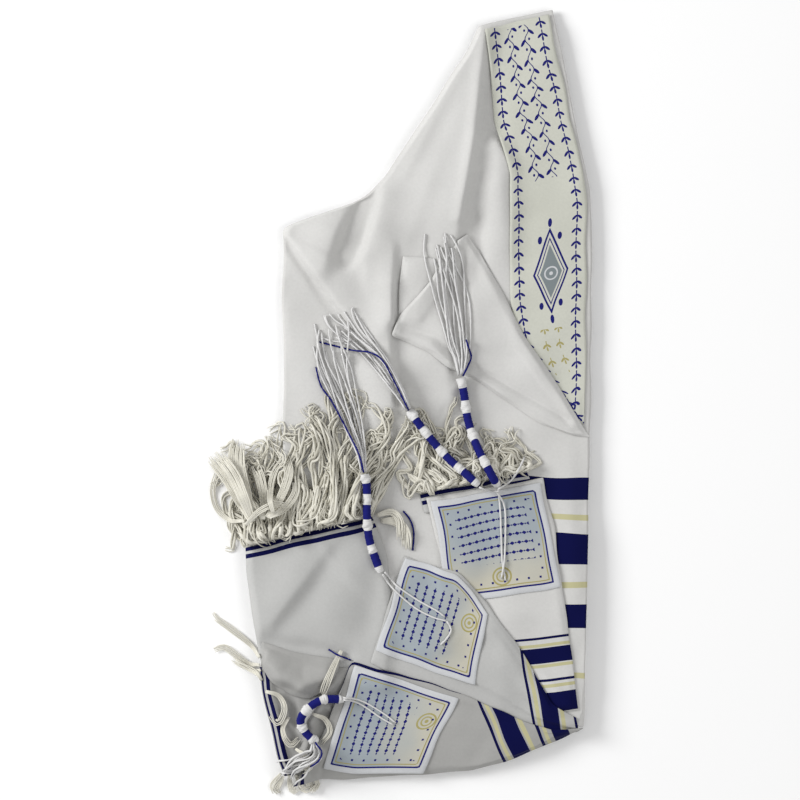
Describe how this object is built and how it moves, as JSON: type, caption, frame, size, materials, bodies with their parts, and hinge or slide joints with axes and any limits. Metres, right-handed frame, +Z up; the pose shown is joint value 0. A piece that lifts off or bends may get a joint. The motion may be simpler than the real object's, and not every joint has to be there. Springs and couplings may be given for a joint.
{
  "type": "tallit prayer shawl",
  "caption": "Prayer shawl of off-white cloth with blue and gold stripes, a woven neckband, sewn corner patches, fringe and wound corner tassels, folded and laid flat",
  "frame": {"origin": "on the surface that the shawl lies on, under the middle of its outline seen from above", "axes": "+Z up, +Y towards the fold at the top end, +X to the right as the shawl is seen from above with that fold away from the viewer"},
  "size_m": [0.3603, 0.7387, 0.0462],
  "materials": {
    "cloth": "plain woven off-white cloth with blue and gold woven stripes near its ends",
    "neckband_cloth": "pale gold brocade with blue woven ornament",
    "patch_cloth": "pale satin patch with a navy frame and small woven ornament",
    "fringe_yarn": "cream twisted yarn locks, knotted",
    "tassel_yarn": "white and royal blue wound yarn"
  },
  "bodies": {
    "root": {"cloth_core": "cloth", "front_panel": "cloth", "neckband": "neckband_cloth", "tucked_flap": "cloth", "fold_over": "cloth", "end_d": "cloth", "panel_a": "cloth", "panel_b": "cloth", "panel_c": "cloth", "panel_l": "cloth", "corner_panel": "cloth", "rolled_flap": "cloth", "patch_a": "patch_cloth", "patch_b": "patch_cloth", "patch_c": "patch_cloth", "fringe_right": "fringe_yarn", "fringe_left": "fringe_yarn", "fringe_corner": "fringe_yarn", "fringe_tip": "fringe_yarn", "tassel_1": "tassel_yarn", "tassel_2": "tassel_yarn", "tassel_3": "tassel_yarn", "tassel_4": "tassel_yarn"}
  },
  "joints": []
}
